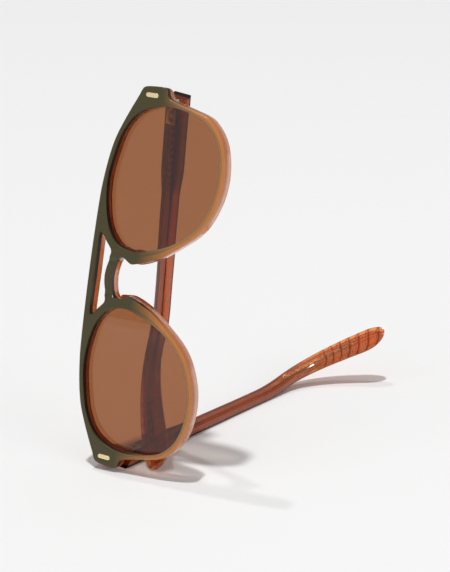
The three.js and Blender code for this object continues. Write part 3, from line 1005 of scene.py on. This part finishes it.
# ---- small parts ----
class SUNGLASSES_OT_nose_pads(bpy.types.Operator):
    """Nose pads rising from the back of the rims"""

    bl_idname = "sunglasses.nose_pads"
    bl_label = "Nose pads"

    SIDE = [(8.9, 15.2), (6.9, 15.6), (6.1, 12.5), (5.8, 9.5), (6.6, 6.4), (7.9, 3.4), (9.2, 1.2),
            (10.6, 1.6), (9.8, 5), (9, 9), (9.3, 12.5)]
    HEIGHT = 5.4
    CROWN = 1.2
    LEAN = 1.7
    TAPER = 0.22

    def execute(self, context):
        colours = context.scene.sunglasses_colours
        material = clear_acetate("amber pad acetate", colours.amber, (0.5, 0.24, 0.14), 0.7, 0.1)
        for side, sign in SIDES.items():
            bm = bmesh.new()
            add_loop(bm, smooth_line(self.SIDE, 0.6, closed=True), -FRONT_THICK + 0.3)
            floor = -FRONT_THICK
            wall = [(FRONT_THICK + (self.HEIGHT - self.CROWN) * i / 5, 0.0) for i in range(1, 6)]
            cap = carry_down(bm, fill_plate(bm), wall)
            low = floor - self.HEIGHT + self.CROWN
            round_edge(bm, cap, low, floor - self.HEIGHT, 0.9, 5, 0.15)
            for vert in bm.verts:
                back = max(0.0, (floor - vert.co.z) / self.HEIGHT)
                vert.co.x += self.LEAN * back
                vert.co.y += (9 - vert.co.y) * self.TAPER * back
            bmesh.ops.scale(bm, vec=(sign, 1, 1), verts=bm.verts)
            stand(bm, f"{side}_nose_rest", WEAR, material, "front", f"{side}_nose_pad", 50)
        return {"FINISHED"}


PLAQUE = {"x": 67.5, "y": 12.3, "length": 5.2, "width": 1.7, "thick": 0.9, "proud": 0.2}


class SUNGLASSES_OT_plaques(bpy.types.Operator):
    """Plain gilt bars let into the end pieces"""

    bl_idname = "sunglasses.plaques"
    bl_label = "Plaques"

    def execute(self, context):
        radius = mm(context.scene.sunglasses_sizes.plaque_radius)
        gilt = metal("gilt plate", context.scene.sunglasses_colours.gilt, 0.22, 3000.0, 0.05)
        for side, sign in SIDES.items():
            bm = bmesh.new()
            half = PLAQUE["width"] / 2
            straight = PLAQUE["length"] / 2 - half
            loop = []
            for end in (1, -1):
                for i in range(13):
                    angle = math.pi * i / 12 + (0 if end > 0 else math.pi)
                    loop.append(Vector((half * math.cos(angle), end * straight + half * math.sin(angle))))
            centre = Vector((PLAQUE["x"], PLAQUE["y"]))
            top = -sag(PLAQUE["x"]) + PLAQUE["proud"]
            add_loop(bm, [centre + p for p in loop], top - PLAQUE["thick"])
            cap = deepen(bm, fill_plate(bm), top - radius, keep=True)
            round_edge(bm, cap, top - radius, top, radius, 3, 0.1)
            bmesh.ops.scale(bm, vec=(sign, 1, 1), verts=bm.verts)
            stand(bm, f"{side}_gilt_bar", WEAR, gilt, "front", f"{side}_plaque")
        return {"FINISHED"}


HINGE_EDGE = 0.00006  # metres


def softened_copy(cad_node, name, material, body):
    """A CAD node's shape with its edges softened."""
    bm = bmesh.new()
    bm.from_mesh(frame["nodes"][cad_node].data)
    bmesh.ops.remove_doubles(bm, verts=bm.verts, dist=1e-6)
    bmesh.ops.dissolve_limit(bm, angle_limit=math.radians(2), verts=bm.verts, edges=bm.edges)
    edges = [e for e in bm.edges if e.is_manifold and e.calc_face_angle(0) > math.radians(40)]
    bmesh.ops.bevel(bm, geom=edges, offset=HINGE_EDGE, offset_type="OFFSET", affect="EDGES", segments=2,
                    profile=0.5, material=-1, clamp_overlap=True)
    make_piece(bm, name, material, body, cad_node)


class SUNGLASSES_OT_hinges(bpy.types.Operator):
    """Hinge leaves, screws and rivets with softened edges"""

    bl_idname = "sunglasses.hinges"
    bl_label = "Hinges"

    FRONT_PARTS = {"hinge_front_leaf": "front_strap", "hinge_screw": "pin_screw"}
    TEMPLE_PARTS = {
        "hinge_temple_leaf": "temple_strap",
        "leaf_rivet_1": "strap_rivet_front",
        "leaf_rivet_2": "strap_rivet_rear",
    }

    def execute(self, context):
        steel = metal("satin hinge steel", context.scene.sunglasses_colours.steel, 0.3, 2500.0)
        for side in SIDES:
            for part, name in self.FRONT_PARTS.items():
                softened_copy(f"{side}_{part}", f"{side}_{name}", steel, "front")
            for part, name in self.TEMPLE_PARTS.items():
                softened_copy(f"{side}_{part}", f"{side}_{name}", steel, f"{side}_temple")
        return {"FINISHED"}


# ---- stage ----
CAMERA = {"place": (0.257871, -0.497053, 0.234336), "azimuth": 27.97, "elevation": 17.67, "roll": -1.377,
          "lens": 94.42}
FLOOR_SIZE = 12.0
# where each lamp stands, seen from the object; its size in metres; and its brightness
LAMPS = {
    "key": {"from": (-0.03, -0.04, 1.0), "distance": 25.0, "size": 1.25, "power": 3130.0},
    "back": {"from": (-0.3, 0.215, 1.0), "distance": 25.0, "size": 0.78, "power": 790.0},
    "front card": {"from": (-0.45, -0.89, 0.55), "distance": 2.4, "size": 2.6, "power": 8.3},
    "right card": {"from": (1.0, -0.25, 0.4), "distance": 1.8, "size": 1.2, "power": 6.0},
}
AMBIENT = 0.26
BACKDROP = 0.9


class SUNGLASSES_OT_stage(bpy.types.Operator):
    """Pale floor, soft lamps and the camera"""

    bl_idname = "sunglasses.stage"
    bl_label = "Stage"

    def execute(self, context):
        self.floor(context)
        self.lamps(context)
        self.camera(context)
        return {"FINISHED"}

    def floor(self, context):
        bm = bmesh.new()
        bmesh.ops.create_circle(bm, cap_ends=True, segments=64, radius=FLOOR_SIZE)
        bmesh.ops.translate(bm, vec=(0, 0, -0.00002), verts=bm.verts)
        mesh = bpy.data.meshes.new("studio_floor")
        bm.to_mesh(mesh)
        bm.free()
        mesh.materials.append(studio_floor(context.scene.sunglasses_colours.floor))
        floor = bpy.data.objects.new("studio_floor", mesh)
        context.scene.collection.objects.link(floor)

    def lamps(self, context):
        low, high = CAD_BOX
        middle = (low + high) / 2
        for name, lamp in LAMPS.items():
            data = bpy.data.lights.new(name, "AREA")
            data.shape = "DISK"
            data.size = lamp["size"]
            data.energy = lamp["power"]
            light = bpy.data.objects.new(name, data)
            away = Vector(lamp["from"]).normalized()
            light.location = middle + away * lamp["distance"]
            light.rotation_euler = away.to_track_quat("Z", "Y").to_euler()
            context.scene.collection.objects.link(light)
        world = bpy.data.worlds.new("studio light")
        world.use_nodes = True
        tree = world.node_tree
        sky = tree.nodes["Background"]
        sky.inputs["Color"].default_value = (1, 1, 1, 1)
        seen = node(tree, "ShaderNodeLightPath").outputs["Is Camera Ray"]
        tree.links.new(ranged(tree, seen, AMBIENT, BACKDROP), sky.inputs["Strength"])
        lay_out(tree)
        context.scene.world = world
        context.scene.view_settings.view_transform = "Standard"

    def camera(self, context):
        data = bpy.data.cameras.new("camera")
        data.lens = CAMERA["lens"]
        data.sensor_width = 36
        camera = bpy.data.objects.new("camera", data)
        azimuth, elevation, roll = (math.radians(CAMERA[k]) for k in ("azimuth", "elevation", "roll"))
        turn = Matrix.Rotation(azimuth, 4, "Z") @ Matrix.Rotation(math.pi / 2 - elevation, 4, "X")
        camera.matrix_world = Matrix.Translation(CAMERA["place"]) @ turn @ Matrix.Rotation(roll, 4, "Z")
        context.scene.collection.objects.link(camera)
        context.scene.camera = camera


class SUNGLASSES_PT_panel(bpy.types.Panel):
    """Lists the steps that build the sunglasses"""

    bl_idname = "SUNGLASSES_PT_panel"
    bl_label = "Sunglasses"
    bl_space_type = "VIEW_3D"
    bl_region_type = "UI"
    bl_category = "Sunglasses"

    def draw(self, context):
        for step in STEPS:
            self.layout.operator(step.bl_idname)
        for group in (context.scene.sunglasses_sizes, context.scene.sunglasses_colours):
            for name in group.__annotations__:
                self.layout.prop(group, name)


STEPS = (
    SUNGLASSES_OT_stage,
    SUNGLASSES_OT_front_face,
    SUNGLASSES_OT_front_back,
    SUNGLASSES_OT_lenses,
    SUNGLASSES_OT_temples,
    SUNGLASSES_OT_nose_pads,
    SUNGLASSES_OT_plaques,
    SUNGLASSES_OT_hinges,
)
SETTINGS = (SunglassesSizes, SunglassesColours)


def register():
    for cls in SETTINGS + STEPS + (SUNGLASSES_PT_panel,):
        bpy.utils.register_class(cls)
    bpy.types.Scene.sunglasses_sizes = PointerProperty(type=SunglassesSizes)
    bpy.types.Scene.sunglasses_colours = PointerProperty(type=SunglassesColours)


def unregister():
    del bpy.types.Scene.sunglasses_colours
    del bpy.types.Scene.sunglasses_sizes
    for cls in reversed(SETTINGS + STEPS + (SUNGLASSES_PT_panel,)):
        bpy.utils.unregister_class(cls)


def main():
    register()
    for step in STEPS:
        family, name = step.bl_idname.split(".")
        getattr(getattr(bpy.ops, family), name)()


if __name__ == "__main__":
    main()
